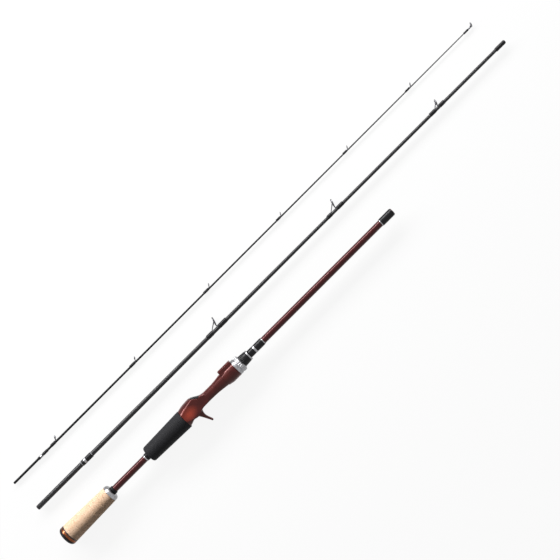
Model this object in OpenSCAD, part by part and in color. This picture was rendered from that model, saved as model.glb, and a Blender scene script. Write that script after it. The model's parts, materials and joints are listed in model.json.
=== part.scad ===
// Three-piece casting rod, taken apart and laid side by side on a flat surface.
// +X runs along the sections to the tips, +Y is the side of the line guides, +Z is up.
// The origin is at the middle of the whole outline, on the surface.

/* [Sections] */
// Length of the butt section
butt_l = 570; // [500:5:690]
// Length of the mid section
mid_l = 818; // [760:1:990]
// Length of the tip section's blank
tip_l = 803; // [740:1:970]
// Distance between the butt and mid axes
mid_spacing = 50.4; // [42:0.1:80]
// Distance between the mid and tip axes
tip_spacing = 42.5; // [32:0.1:70]

/* [Blanks] */
// Outside diameter of the butt blank
butt_d = 8.8; // [7.8:0.1:9.6]
// Bore of the butt blank behind its socket
butt_bore_d = 5.8; // [4:0.1:6]
// Diameter of the mid blank just in front of its spigot
mid_rear_d = 6.3; // [5.6:0.1:6.8]
// Diameter of the mid blank at its front end
mid_front_d = 4.2; // [3.9:0.1:4.8]
// Share of the mid blank's length over which it tapers
mid_taper = 0.5; // [0.4:0.05:0.9]
// Bore of the mid blank behind its socket
mid_bore_d = 2.6; // [1.6:0.1:3]
// Diameter of the tip blank just in front of its spigot
tip_rear_d = 3; // [2.7:0.1:3.4]
// Diameter of the tip blank at its front end
tip_front_d = 1.2; // [1:0.1:1.6]
// Bore of the tip blank
tip_bore_d = 1.4; // [0.8:0.1:1.6]
// Length of the bored rear stretch of the tip blank
tip_bore_l = 320; // [100:10:500]

/* [Ferrules] */
// Diameter of the mid section's spigot
mid_spigot_d = 6.3; // [5.6:0.05:6.6]
// Length of the mid section's spigot
mid_spigot_l = 75; // [50:1:90]
// Diameter of the tip section's spigot
tip_spigot_d = 3.1; // [2.8:0.05:3.3]
// Length of the tip section's spigot
tip_spigot_l = 42; // [30:1:60]
// Clearance between a spigot and its socket, on the radius
spigot_gap = 0.03; // [0.01:0.01:0.05]
// Extra depth of a socket past its spigot's end
socket_extra = 2; // [1:0.5:6]
// Length of the wrap round the butt socket
butt_ferrule_wrap_l = 20; // [14:1:30]
// Length of the wrap round the mid socket
mid_ferrule_wrap_l = 16; // [10:1:24]

/* [Butt grip] */
// Length of the domed end cap
end_cap_l = 4.5; // [3:0.5:8]
// Outside diameter of the end cap and the end ring
end_d = 25.6; // [22:0.1:30]
// Length of the copper end ring
end_ring_l = 3; // [2:0.5:6]
// Length of the thin dark trim between end ring and cork
end_trim_l = 1.3; // [0.8:0.1:3]
// Length of the cork grip
cork_l = 68; // [50:1:120]
// Number of cork rings glued up into the grip
cork_count = 5; // [3:1:9]
// Diameter of the cork at its rear end
cork_rear_d = 25.2; // [22:0.1:30]
// Diameter of the cork at its front end
cork_front_d = 21.4; // [18:0.1:26]
// Length of the silver cap on the front of the cork
grip_cap_l = 5; // [4:0.5:8]
// Front diameter of the silver cap, where its rounded shoulder ends
grip_cap_nose_d = 15; // [13:0.5:17]
// Length of the black collar in front of the silver cap
collar_l = 5; // [3:0.5:8]
// Depth of the collar's seat in the silver cap
collar_seat = 1; // [0.5:0.5:2]
// Outside diameter of the collar
collar_d = 10.8; // [10.4:0.1:12]

/* [Foam grip] */
// Length of bare blank between the collar and the foam grip's check
bare_l = 53.5; // [30:0.5:120]
// Length of the silver trim behind the foam grip
grip_trim_l = 1.4; // [0.8:0.1:3]
// Length of the black check behind the foam grip
grip_check_l = 4; // [2:0.5:8]
// Outside diameter of that check
grip_check_d = 9.9; // [9.8:0.1:11]
// Length of the foam grip
foam_l = 63; // [45:1:90]
// Rear diameter of the foam grip
foam_rear_d = 22; // [18:0.1:25]
// Front diameter of the foam grip
foam_front_d = 25.6; // [24.6:0.1:27]
// Radius round the foam grip's rear edge
foam_round = 3; // [1:0.5:5]

/* [Reel seat] */
// Length of the reel seat's palm, back to the foot of the fixed hood's slope
palm_l = 38; // [34:0.5:46]
// Length of the saddle, from the palm to the end of the body
saddle_l = 32.3; // [30:0.1:44]
// Height of the palm's rear edge above the axis
palm_rear_h = 12.4; // [11.5:0.1:12.8]
// Height of the palm's crown above the axis
palm_crown_h = 14.9; // [14.4:0.1:16]
// Height of the saddle's lowest stretch above the axis
saddle_h = 7.15; // [6.8:0.05:7.6]
// Height of the two ledges that the reel foot stands on
foot_h = 8.7; // [8.4:0.1:9]
// Depth of the saddle's belly below the axis
belly_h = 6.3; // [5.8:0.1:7]
// Depth of the palm's belly below the axis, at its rear edge
palm_belly_h = 11.8; // [11:0.1:12.5]
// Radius of the saddle's round section
saddle_r = 8.95; // [8.6:0.05:9]
// Half width of the ledge at the moving hood
ledge_w = 7; // [6.5:0.1:7]
// Length of the threaded barrel
barrel_l = 40; // [36:0.5:50]
// Diameter over the barrel's thread crests
thread_d = 12.2; // [11.8:0.1:12.6]
// Depth of the barrel's thread
thread_depth = 0.5; // [0.3:0.1:0.6]
// Pitch of the barrel's thread
thread_pitch = 2; // [1.5:0.5:3]
// Bore of the seat, which the arbors fill
seat_bore_d = 9.9; // [9.8:0.1:10.2]
// Length of each arbor between blank and seat
arbor_l = 22; // [12:1:30]

/* [Hoods and trigger] */
// Height of both hoods' pockets
pocket_h = 3.3; // [2.8:0.1:3.3]
// Half width of both hoods' pockets
pocket_w = 7.3; // [7.3:0.1:7.6]
// Depth of the fixed hood's pocket behind its mouth
pocket_depth = 13; // [8:0.5:16]
// Thickness of the bezel round the fixed hood's mouth
bezel_t = 1.4; // [1:0.1:2]
// Depth of the trigger's tip below the axis
trigger_drop = 26; // [22:0.5:32]
// Thickness of the trigger, across the rod
trigger_w = 6; // [4:0.5:8]
// Radius of the trigger's tip
trigger_tip_r = 1.5; // [1:0.1:2.5]
// Length of the moving hood
hood_l = 19.6; // [18:0.1:26]
// Radius of the moving hood's round part
hood_r = 10.9; // [10.7:0.1:12]
// Height of the moving hood's roof above the axis
hood_top_h = 12.9; // [12.9:0.1:14]
// Length of the hood's closed front wall
hood_wall_l = 5.3; // [3:0.1:6]
// Travel of the moving hood, from fully open towards the fixed hood
hood_travel = 12; // [6:0.5:12]
// Clearance of everything that slides or turns on the reel seat, on the radius
run_gap = 0.1; // [0.08:0.01:0.15]

/* [Lock nut] */
// Length of the silver grip ring on the nut
nut_ring_l = 11; // [8:0.5:14]
// Outside diameter of the silver grip ring
nut_ring_d = 21.4; // [19:0.1:22]
// Length of the ribbed front of the nut
nut_l = 10.4; // [8:0.1:14]
// Rear diameter of the ribbed front
nut_rear_d = 15.8; // [15:0.1:17]
// Front diameter of the ribbed front
nut_front_d = 14.4; // [14:0.1:15]
// Number of grip ribs round the nut
nut_ribs = 20; // [12:1:28]
// Number of grip notches round the silver ring
ring_notches = 24; // [12:1:30]

/* [Trim in front of the seat] */
// Length of the silver winding check
winding_check_l = 1.9; // [1:0.1:4]
// Length of the first wrap
wrap_1_l = 8.5; // [5:0.5:16]
// Length of the silver band between the wraps
band_l = 2.6; // [1:0.1:5]
// Length of the second wrap
wrap_2_l = 12.4; // [6:0.1:24]
// Length of the thin silver trims
trim_l = 1; // [0.6:0.1:2]
// Thickness of the wraps on the butt section
butt_wrap_t = 0.7; // [0.5:0.1:1.2]

/* [Mid section trim] */
// Start of the short rear wrap, past the spigot
mid_short_wrap_gap = 3; // [1:0.5:10]
// Length of the short rear wrap
mid_short_wrap_l = 4; // [2:0.5:10]
// Length of the silver band between the rear wraps
mid_band_l = 2.6; // [1:0.1:5]
// Length of the long rear wrap
mid_long_wrap_l = 10.4; // [6:0.1:24]
// Thickness of the wraps on the mid section
mid_wrap_t = 0.45; // [0.3:0.05:0.8]
// Length of the fine light threads at the ends of the rear wraps
thread_line_l = 0.5; // [0.3:0.1:1]

/* [Tip section trim] */
// Length of the short rear wrap
tip_short_wrap_l = 3.7; // [2:0.1:8]
// Room between the tip section's rear wraps
tip_wrap_gap = 4.5; // [3.5:0.5:10]
// Length of the silver band that stands in that room
tip_band_l = 3.2; // [1:0.1:3.3]
// Length of the long rear wrap
tip_long_wrap_l = 7.9; // [4:0.1:16]
// Thickness of the wraps on the tip section
tip_wrap_t = 0.4; // [0.3:0.05:0.7]

/* [Line guides] */
// Distance of each mid guide's ring from the section's rear end
mid_guide_x = [316.5, 524, 703]; // [100:1:790]
// Outside diameter of each mid guide's loop
mid_loop_d = [11.5, 10.3, 7.7]; // [6:0.1:14]
// Height of each mid guide's top above the blank's axis
mid_guide_h = [15, 14.4, 10.7]; // [9:0.1:18]
// Length of each mid guide's rear wrap
mid_rear_wrap_l = [10.5, 8, 10.4]; // [6:0.1:16]
// Length of each mid guide's front wrap
mid_front_wrap_l = [14, 10.7, 9.2]; // [6:0.1:18]
// Reach of each mid guide's rear legs behind the ring
mid_leg_reach = [9, 8.4, 5.4]; // [4:0.1:12]
// Distance of each tip guide's ring from the section's rear end
tip_guide_x = [76, 215.5, 345, 470.5, 587.5, 698]; // [60:1:780]
// Outside diameter of each tip guide's loop
tip_loop_d = [5.2, 4.6, 4.2, 4.1, 4, 4]; // [3.6:0.1:6]
// Height of each tip guide's top above the blank's axis
tip_guide_h = [6.8, 6.1, 5.4, 5.1, 4.9, 4.8]; // [4.4:0.1:8]
// Length of each tip guide's wrap
tip_guide_wrap_l = [8.5, 9.5, 9.5, 7.5, 7.5, 8.5]; // [5:0.5:14]
// Width of a loop's wall, between the line ring and the outside
loop_t = 0.8; // [0.6:0.1:1.2]
// Wall of the line ring inside a mid guide
ring_t = 0.9; // [0.6:0.1:1.2]
// Wall of the line ring inside a tip guide
small_ring_t = 0.5; // [0.4:0.05:0.7]
// Forward lean of the mid guides, in degrees
guide_lean = 17; // [0:1:20]
// Forward lean of the tip guides, in degrees
tip_lean = 35; // [10:1:40]
// Forward lean of the tip-top's loop, in degrees
tip_top_lean = 12; // [0:1:20]
// Diameter of the wire legs of a mid guide
leg_d = 1; // [0.8:0.1:1.4]
// Thickness of a guide's foot
foot_t = 0.6; // [0.4:0.1:0.9]
// Width of a guide's foot
foot_w = 2; // [1.4:0.1:2.6]
// Length of the tip-top's tube
tip_tube_l = 9; // [6:0.5:14]
// Outside diameter of the tip-top's loop
tip_top_loop_d = 4.6; // [4:0.1:6]
// Height of the tip-top's ring centre above the axis
tip_top_h = 2.4; // [2:0.1:4]
// Length of the tip-top's wrap
tip_top_wrap_l = 8; // [4:0.5:14]

/* [Hidden] */
$fn = 64;

// Glue line between bonded pieces, on the radius
glue = 0.05;
// Overshoot of a cutting shape past the face that it opens
over = 1;

// Places along the butt section, measured from its rear end
end_ring_x = end_cap_l;
end_trim_x = end_ring_x + end_ring_l;
cork_x = end_trim_x + end_trim_l;
grip_cap_x = cork_x + cork_l;
collar_x = grip_cap_x + grip_cap_l - collar_seat;
grip_trim_x = collar_x + collar_l + bare_l;
grip_check_x = grip_trim_x + grip_trim_l;
foam_x = grip_check_x + grip_check_l;
seat_x = foam_x + foam_l;
body_end_x = seat_x + palm_l + saddle_l;
barrel_end_x = body_end_x + barrel_l;
winding_check_x = barrel_end_x + run_gap;
nut_end_x = barrel_end_x;
nut_x = nut_end_x - nut_l;
nut_ring_x = nut_x - nut_ring_l;
hood_x = nut_ring_x - hood_l;
wrap_1_x = winding_check_x + winding_check_l;
band_x = wrap_1_x + wrap_1_l;
wrap_2_x = band_x + band_l;
butt_trim_x = wrap_2_x + wrap_2_l;
butt_ferrule_wrap_x = butt_l - butt_ferrule_wrap_l;
ferrule_trim_x = butt_ferrule_wrap_x - trim_l;

// Places along the mid and tip sections, measured from their rear ends
mid_short_wrap_x = mid_spigot_l + mid_short_wrap_gap;
mid_band_x = mid_short_wrap_x + mid_short_wrap_l;
mid_long_wrap_x = mid_band_x + mid_band_l;
mid_ferrule_wrap_x = mid_l - mid_ferrule_wrap_l;
tip_short_wrap_x = tip_spigot_l + 0.6;
tip_long_wrap_x = tip_short_wrap_x + tip_short_wrap_l + tip_wrap_gap;
tip_tube_x = tip_l - tip_tube_l;
tip_top_x = tip_l + 1.2;

// Length of the end cap's plug in the blank
end_plug_l = 12;
// Radius of the ball that shapes the palm's finger dimples
dimple_r = 40;
// Half width of the raised roof on the moving hood
hood_block_w = 8.6;
// Width of a guide's loop along the rod
loop_w = 1.4;
small_loop_w = 1;
small_loop_t = 0.6;
// Thickness of the thread and varnish over a guide's foot
guide_wrap_t = 0.25;

// Radii that more than one piece uses
blank_r = butt_d / 2;
bond_r = blank_r + glue;
socket_r = mid_spigot_d / 2 + spigot_gap;
mid_socket_r = tip_spigot_d / 2 + spigot_gap;
thread_r = thread_d / 2;
seat_bore_r = seat_bore_d / 2;
butt_wrap_d = butt_d + 2 * butt_wrap_t;

// Heights of the three axes above the surface: each section lies on its own widest round piece
butt_z = max(end_d, foam_front_d) / 2;
mid_z = max(mid_loop_d) / 2;
tip_z = max(tip_loop_d) / 2;

// The whole outline, from the trigger's tip to the top of the tallest tip guide
butt_y = 0;
mid_y = butt_y + mid_spacing;
tip_y = mid_y + tip_spacing;
low_y = butt_y - trigger_drop;
high_y = tip_y + max(tip_guide_h);
centre_x = mid_l / 2;
centre_y = (low_y + high_y) / 2;

// A point on a smooth line through p1 and p2, with p0 and p3 as their neighbours
function spline_point(p0, p1, p2, p3, t) =
  0.5 * (2 * p1 + (p2 - p0) * t + (2 * p0 - 5 * p1 + 4 * p2 - p3) * t ^ 2
    + (3 * p1 - p0 - 3 * p2 + p3) * t ^ 3);

// A smooth line through all the points, with the given number of steps between two of them
function smooth(points, steps = 5) = [
  for (i = [0:len(points) - 2])
    for (s = [0:steps - 1])
      spline_point(points[max(i - 1, 0)], points[i], points[i + 1],
        points[min(i + 2, len(points) - 1)], s / steps),
  points[len(points) - 1]
];

// The same points in the other order
function reversed(points) = [for (i = [len(points) - 1:-1:0]) points[i]];

// Points of an arc, from one angle to another
function arc(centre, r, from, to, steps = 6) = [
  for (i = [0:steps])
    let (a = from + (to - from) * i / steps) centre + r * [cos(a), sin(a)]
];

// Radius of the mid and tip blanks at a distance from the rear end
function mid_r(x) = mid_front_d / 2
  + (mid_rear_d - mid_front_d) / 2 * max(0, 1 - (x - mid_spigot_l) / (mid_taper * mid_l));
function tip_r(x) = tip_rear_d / 2
  - (tip_rear_d - tip_front_d) / 2 * (x - tip_spigot_l) / (tip_l - tip_spigot_l);

// Sections in place
module on_butt() { translate([-centre_x, butt_y - centre_y, butt_z]) children(); }
module on_mid() { translate([-centre_x, mid_y - centre_y, mid_z]) children(); }
module on_tip() { translate([-centre_x, tip_y - centre_y, tip_z]) children(); }

// A turned shape round the X axis, from points given as [distance along X, radius]
module turned(points) {
  rotate([90, 0, 90]) rotate_extrude() polygon([for (p = points) [p[1], p[0]]]);
}

// A straight tube along X
module tube_x(x, l, d, bore) {
  translate([x, 0, 0]) rotate([0, 90, 0]) difference() {
    cylinder(h = l, d = d);
    translate([0, 0, -over]) cylinder(h = l + 2 * over, d = bore);
  }
}

// A solid rod along X
module rod_x(x, l, r) { translate([x, 0, 0]) rotate([0, 90, 0]) cylinder(h = l, r = r); }

// A round wire between two points
module wire(from, to, d) {
  v = to - from;
  flat = norm([v[0], v[1]]);
  translate(from) rotate([0, atan2(flat, v[2]), atan2(v[1], v[0])]) cylinder(h = norm(v), d = d, $fn = 24);
}

// A thread wrap under varnish: a sleeve whose ends are rounded off over the length of end_l
module wrap(x, l, r, t, end_l = 1.6) {
  rear = [for (a = [15:15:90]) [x + end_l * (1 - cos(a)), r + t * sin(a)]];
  front = [for (a = [90:-15:15]) [x + l - end_l * (1 - cos(a)), r + t * sin(a)]];
  turned(concat([[x, r]], rear, front, [[x + l, r]]));
}

// A guide's wrap: it covers the foot on the +Y side of the blank
module foot_wrap(x, l, r) {
  lift = foot_t / 2;
  difference() {
    translate([0, lift, 0]) wrap(x, l, r / 2, r / 2 + lift + guide_wrap_t, end_l = 1.2);
    rod_x(x - over, l + 2 * over, r + glue / 2);
    guide_foot(x - over, l + 2 * over, r);
  }
}

// The flat foot of a guide, lying on the +Y side of the blank with a rounded back
module guide_foot(x, l, r) {
  difference() {
    intersection() {
      translate([x, 0, -foot_w / 2]) cube([l, r + foot_t, foot_w]);
      translate([0, foot_t / 2, 0]) rod_x(x, l, r + foot_t / 2);
    }
    rod_x(x - over, l + 2 * over, r);
  }
}

// A flat post from a foot up to a loop, given by its middle line in the side view
module post(from, to, l, w) {
  half = [l / 2, 0];
  translate([0, 0, -w / 2]) linear_extrude(w) polygon([from - half, from + half, to + half, to - half]);
}

// A round ring standing across the rod, leaning forward about its own centre
module loop(x, y, d, bore, w, lean) {
  translate([x, y, 0]) rotate([0, 0, -lean]) rotate([0, 90, 0]) rotate_extrude()
    polygon([
      [bore / 2, -w / 2], [d / 2 - w / 4, -w / 2], [d / 2, -w / 4],
      [d / 2, w / 4], [d / 2 - w / 4, w / 2], [bore / 2, w / 2]
    ]);
}

// A line ring: its inside is rounded, so that the line runs over a smooth edge
module line_ring(x, y, d, t, w, lean) {
  inside = [for (a = [-90:30:90]) [d / 2 - t + t * (1 - cos(a)), w / 2 * sin(a)]];
  translate([x, y, 0]) rotate([0, 0, -lean]) rotate([0, 90, 0]) rotate_extrude()
    polygon(concat([[d / 2, -w / 2]], inside, [[d / 2, w / 2]]));
}

// Butt section -------------------------------------------------------------

// Main tube: socket at the front for the mid section, open bore behind it
module butt_blank() {
  socket_end = butt_l - mid_spigot_l - socket_extra;
  color("#5a1a1c") on_butt() turned([
    [end_ring_x, blank_r], [butt_l - 0.6, blank_r], [butt_l, blank_r - 0.4],
    [butt_l, socket_r], [socket_end, socket_r], [socket_end - over, butt_bore_d / 2],
    [end_ring_x, butt_bore_d / 2]
  ]);
}

// Domed rear cap with a plug that goes into the blank
module end_cap() {
  dome = [for (a = [0:15:75]) [end_cap_l * (1 - sin(a)), end_d / 2 - end_cap_l * (1 - cos(a))]];
  plug_r = butt_bore_d / 2 - glue;
  color("#161616") on_butt() turned(concat(
    [[0, 0]], reversed(dome), [[end_cap_l, plug_r], [end_cap_l + end_plug_l, plug_r], [end_cap_l + end_plug_l, 0]]
  ));
}

module end_ring() { color("#b4622c") on_butt() tube_x(end_ring_x, end_ring_l, end_d, 2 * bond_r); }

module end_trim() { color("#2a1712") on_butt() tube_x(end_trim_x, end_trim_l, cork_rear_d, 2 * bond_r); }

// Cork grip, glued up from separate rings on the blank
module cork_rings() {
  ring_l = cork_l / cork_count;
  slope = (cork_front_d - cork_rear_d) / 2 / cork_l;
  color("#d9b98c") on_butt() for (i = [0:cork_count - 1]) turned([
    [cork_x + i * ring_l + glue, bond_r],
    [cork_x + i * ring_l + glue, cork_rear_d / 2 + slope * i * ring_l],
    [cork_x + (i + 1) * ring_l - glue, cork_rear_d / 2 + slope * (i + 1) * ring_l],
    [cork_x + (i + 1) * ring_l - glue, bond_r]
  ]);
}

// Silver cap that closes the front of the cork, with a seat for the collar
module grip_cap() {
  rise = cork_front_d / 2 - grip_cap_nose_d / 2;
  shoulder = [for (a = [0:15:90]) [grip_cap_x + grip_cap_l * (0.3 + 0.7 * sin(a)), cork_front_d / 2 - rise * (1 - cos(a))]];
  color("#d8d8da") on_butt() turned(concat(
    [[grip_cap_x, bond_r], [grip_cap_x, cork_front_d / 2]], shoulder,
    [[grip_cap_x + grip_cap_l, collar_d / 2], [collar_x, collar_d / 2], [collar_x, bond_r]]
  ));
}

module grip_collar() {
  color("#151515") on_butt() turned([
    [collar_x, bond_r], [collar_x, collar_d / 2], [collar_x + collar_l - 0.8, collar_d / 2],
    [collar_x + collar_l, collar_d / 2 - 0.6], [collar_x + collar_l, bond_r]
  ]);
}

module grip_trim() { color("#d0d0d2") on_butt() tube_x(grip_trim_x, grip_trim_l, grip_check_d - 0.4, 2 * bond_r); }

module grip_check() { color("#141414") on_butt() tube_x(grip_check_x, grip_check_l, grip_check_d, 2 * bond_r); }

// Foam grip with a rounded rear edge, flush with the seat's palm at its front
module foam_grip() {
  rear = [for (a = [0:15:90]) [foam_x + foam_round * (1 - sin(a)), foam_rear_d / 2 - foam_round * (1 - cos(a))]];
  color("#242425") on_butt() turned(concat(
    [[foam_x, bond_r]], reversed(rear), [[seat_x, foam_front_d / 2], [seat_x, bond_r]]
  ));
}

// Reel seat ----------------------------------------------------------------

// Upper outline of the seat, in the seat's own place along the rod
palm_end_x = seat_x + palm_l;
function seat_top() = concat(
  smooth([
    [seat_x, palm_rear_h], [seat_x + 0.25 * palm_l, palm_rear_h + 0.8 * (palm_crown_h - palm_rear_h)],
    [seat_x + 0.5 * palm_l, palm_crown_h], [mouth_x - 2, palm_crown_h - 0.5]
  ]),
  smooth([
    [mouth_x, palm_crown_h - 1.2], [palm_end_x - 9.5, foot_h + 1.3], [palm_end_x - 6, foot_h - 0.1],
    [palm_end_x, saddle_h], [palm_end_x + 8, saddle_h - 0.05], [palm_end_x + 16, saddle_h],
    [body_end_x - 8, foot_h - 0.7], [body_end_x - 4, foot_h], [body_end_x, foot_h]
  ])
);
mouth_x = seat_x + 0.61 * palm_l;

// Lower outline of the seat, without the trigger
function seat_belly() = smooth([
  [seat_x, -palm_belly_h], [seat_x + 5, -palm_belly_h + 1.7], [seat_x + 9.5, -palm_belly_h + 3],
  [seat_x + 15, -palm_belly_h + 1.8], [seat_x + 21, -belly_h - 2], [seat_x + 28, -belly_h],
  [palm_end_x + 8, -belly_h], [palm_end_x + 16, -belly_h - 0.4],
  [body_end_x - 8, -belly_h - 1.4], [body_end_x, -saddle_r]
]);

// Half width of the palm seen from the guide side
function palm_side() = smooth([
  [seat_x, foam_front_d / 2 - 0.2], [seat_x + 8, foam_front_d / 2 - 0.6], [seat_x + 17, 11],
  [mouth_x + 2, saddle_r + 0.5], [palm_end_x, saddle_r]
]);

// Radius that rounds the palm, about the rod's axis
function palm_round() = smooth([
  [seat_x, foam_front_d / 2], [seat_x + 9, palm_crown_h - 0.6], [seat_x + 19, palm_crown_h],
  [mouth_x + 1, palm_crown_h - 0.2], [palm_end_x - 6.5, norm([foot_h, ledge_w]) + 0.6],
  [palm_end_x, norm([saddle_h, ledge_w])]
]);

// Rear and front edge of the trigger, down to its rounded tip
module trigger() {
  tip = [seat_x + 24, -trigger_drop + trigger_tip_r];
  rear = smooth([[seat_x + 12, -palm_belly_h + 4], [seat_x + 16, -palm_belly_h], tip + trigger_tip_r * [-0.95, 0.3]]);
  front = smooth([tip + trigger_tip_r * [0.95, 0.3], [seat_x + 22.2, -palm_belly_h - 2.5], [seat_x + 24, -belly_h - 1],
    [seat_x + 30, -belly_h + 1]]);
  translate([0, 0, -trigger_w / 2]) linear_extrude(trigger_w)
    polygon(concat(rear, arc(tip, trigger_tip_r, 197, 343), front));
}

// The body between its two outlines, before anything is cut out of it
module seat_blank() {
  depth = 2 * palm_crown_h;
  intersection() {
    translate([0, 0, -depth / 2]) linear_extrude(depth) polygon(concat(seat_top(), reversed(seat_belly())));
    union() {
      intersection() {
        turned(concat([[seat_x, 0]], palm_round(), [[palm_end_x, 0]]));
        rotate([90, 0, 0]) translate([0, 0, -depth]) linear_extrude(2 * depth)
          polygon(concat(palm_side(), reversed([for (p = palm_side()) [p[0], -p[1]]])));
      }
      rod_x(palm_end_x - over, body_end_x - palm_end_x + over, saddle_r);
      translate([palm_end_x - over, 0, -ledge_w]) cube([body_end_x - palm_end_x + over, foot_h, 2 * ledge_w]);
    }
  }
}

// Pocket of the fixed hood, open towards the moving hood
module fixed_pocket() {
  translate([mouth_x - pocket_depth, foot_h, -pocket_w]) cube([pocket_depth + 20, pocket_h, 2 * pocket_w]);
}

// Outline of the bezel: a band let into the slope round the mouth, bezel_t deep
module bezel_band() {
  lip = [mouth_x + 0.6, palm_crown_h - 1.5];
  sill = [palm_end_x - 7.4, foot_h - 0.1];
  run = (sill - lip) / norm(sill - lip);
  out = [-run[1], run[0]];
  rear = lip - 1.2 * run;
  front = sill + 1.5 * run;
  polygon([rear + 3 * out, front + 3 * out, front - bezel_t * out, rear - bezel_t * out]);
}

// Threaded barrel in front of the body
module barrel() {
  threads = floor((barrel_l - 2 * thread_pitch) / thread_pitch);
  ridges = [for (i = [0:threads - 1]) for (p = [[0, -thread_depth], [0.3, 0], [0.6, 0], [0.9, -thread_depth]])
    [body_end_x + (1 + i + p[0]) * thread_pitch, thread_r + p[1]]];
  turned(concat(
    [[body_end_x - over, 0], [body_end_x - over, thread_r - thread_depth]], ridges,
    [[barrel_end_x, thread_r - thread_depth], [barrel_end_x, 0]]
  ));
}

// Palm, fixed hood, saddle, trigger and barrel, moulded in one piece
module seat_body() {
  color("#7c2c26") on_butt() difference() {
    union() {
      seat_blank();
      trigger();
      barrel();
    }
    fixed_pocket();
    translate([0, 0, -2 * saddle_r]) linear_extrude(4 * saddle_r) bezel_band();
    rod_x(seat_x - over, barrel_end_x - seat_x + 2 * over, seat_bore_r);
    for (side = [-1, 1])
      translate([seat_x + 10, 0.5, side * (foam_front_d / 2 - 1.6 + dimple_r)]) sphere(r = dimple_r, $fn = 64);
  }
}

module hood_bezel() {
  color("#1b1717") on_butt() difference() {
    intersection() {
      seat_blank();
      translate([0, 0, -2 * saddle_r]) linear_extrude(4 * saddle_r) bezel_band();
    }
    fixed_pocket();
  }
}

// Sleeves that fill the room between blank and seat
module seat_arbors() {
  first = seat_x + 4;
  last = barrel_end_x - 4 - arbor_l;
  color("#b9a27a") on_butt() for (i = [0:2])
    tube_x(first + i * (last - first) / 2, arbor_l, seat_bore_d - 2 * glue, 2 * bond_r);
}

// Moving hood: a round sleeve over the barrel with a pocket on its +Y side
module moving_hood() {
  front_x = hood_x + hood_l;
  wall_x = front_x - hood_wall_l;
  color("#8a3029") on_butt() difference() {
    union() {
      rod_x(hood_x, hood_l, hood_r);
      intersection() {
        translate([hood_x, 0, -hood_block_w]) cube([hood_l, hood_top_h, 2 * hood_block_w]);
        rod_x(hood_x, hood_l, norm([hood_top_h, hood_block_w]) - 1.2);
      }
    }
    rod_x(hood_x - over, wall_x - hood_x + over, saddle_r + run_gap + 0.25);
    translate([hood_x - over, 0, -pocket_w]) cube([wall_x - hood_x + over, foot_h + pocket_h, 2 * pocket_w]);
    rod_x(wall_x - over, hood_wall_l + 2 * over, thread_r + run_gap);
    difference() {
      tube_x(front_x - 4.2, 1, 3 * hood_r, 2 * hood_r - 0.5);
      translate([front_x - 5, 0, -hood_block_w - 1]) cube([3, 2 * hood_top_h, 2 * hood_block_w + 2]);
    }
  }
}

// Ribbed front of the lock nut, and the shoulder that carries the silver ring
module lock_nut() {
  rear_r = nut_rear_d / 2;
  front_r = nut_front_d / 2;
  color("#1a1a1b") on_butt() difference() {
    turned([
      [nut_ring_x + run_gap, thread_r + run_gap], [nut_ring_x + run_gap, rear_r - 0.4], [nut_x, rear_r - 0.4],
      [nut_x, rear_r], [nut_end_x - 0.8, front_r], [nut_end_x, front_r - 0.6], [nut_end_x, thread_r + run_gap]
    ]);
    for (i = [0:nut_ribs - 1]) rotate([i * 360 / nut_ribs, 0, 0])
      translate([nut_x + 1.2, rear_r + 0.1, 0]) rotate([0, 90, 0]) cylinder(h = nut_l, r = 0.6, $fn = 16);
  }
}

// Silver grip ring, pressed on the nut's shoulder: two notched bands with a groove between them
module nut_ring() {
  band_l = 0.36 * nut_ring_l;
  r = nut_ring_d / 2;
  groove_x = nut_ring_x + band_l;
  second_x = groove_x + 0.12 * nut_ring_l;
  color("#dcdcde") on_butt() difference() {
    turned([
      [nut_ring_x + run_gap, nut_rear_d / 2 - 0.4], [nut_ring_x + run_gap, r - 0.4], [nut_ring_x + 0.4, r],
      [groove_x, r], [groove_x, r - 0.8], [second_x, r - 0.8], [second_x, r],
      [second_x + band_l, r], [second_x + band_l + 0.6, r - 0.6], [nut_x, nut_rear_d / 2 + 0.4],
      [nut_x, nut_rear_d / 2 - 0.4]
    ]);
    for (i = [0:ring_notches - 1]) rotate([(i + 0.5) * 360 / ring_notches, 0, 0])
      translate([second_x - 0.2, r + 0.3, 0]) rotate([0, 90, 0]) cylinder(h = band_l + 1, r = 0.7, $fn = 16);
  }
}

// Silver cone that closes the front of the seat
module winding_check() {
  color("#d4d4d6") on_butt() turned([
    [winding_check_x, bond_r], [winding_check_x, nut_front_d / 2 - 0.2],
    [winding_check_x + 0.35 * winding_check_l, nut_front_d / 2 - 0.2],
    [winding_check_x + winding_check_l, butt_wrap_d / 2 + 0.3], [winding_check_x + winding_check_l, bond_r]
  ]);
}

module butt_wraps() {
  color("#101011") on_butt() {
    wrap(wrap_1_x, wrap_1_l, bond_r, butt_wrap_t, end_l = 0.8);
    wrap(wrap_2_x, wrap_2_l, bond_r, butt_wrap_t, end_l = 0.8);
  }
}

module butt_band() { color("#d8d8da") on_butt() tube_x(band_x, band_l, butt_wrap_d + 0.2, 2 * bond_r); }

module butt_trim() { color("#c9c9cb") on_butt() tube_x(butt_trim_x, trim_l, butt_wrap_d - 0.4, 2 * bond_r); }

module ferrule_trim() { color("#c9c9cb") on_butt() tube_x(ferrule_trim_x, trim_l, butt_wrap_d - 0.4, 2 * bond_r); }

module butt_ferrule_wrap() {
  color("#101011") on_butt() wrap(butt_ferrule_wrap_x, butt_ferrule_wrap_l - 0.6, bond_r, butt_wrap_t, end_l = 1.2);
}

// Mid section --------------------------------------------------------------

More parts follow.
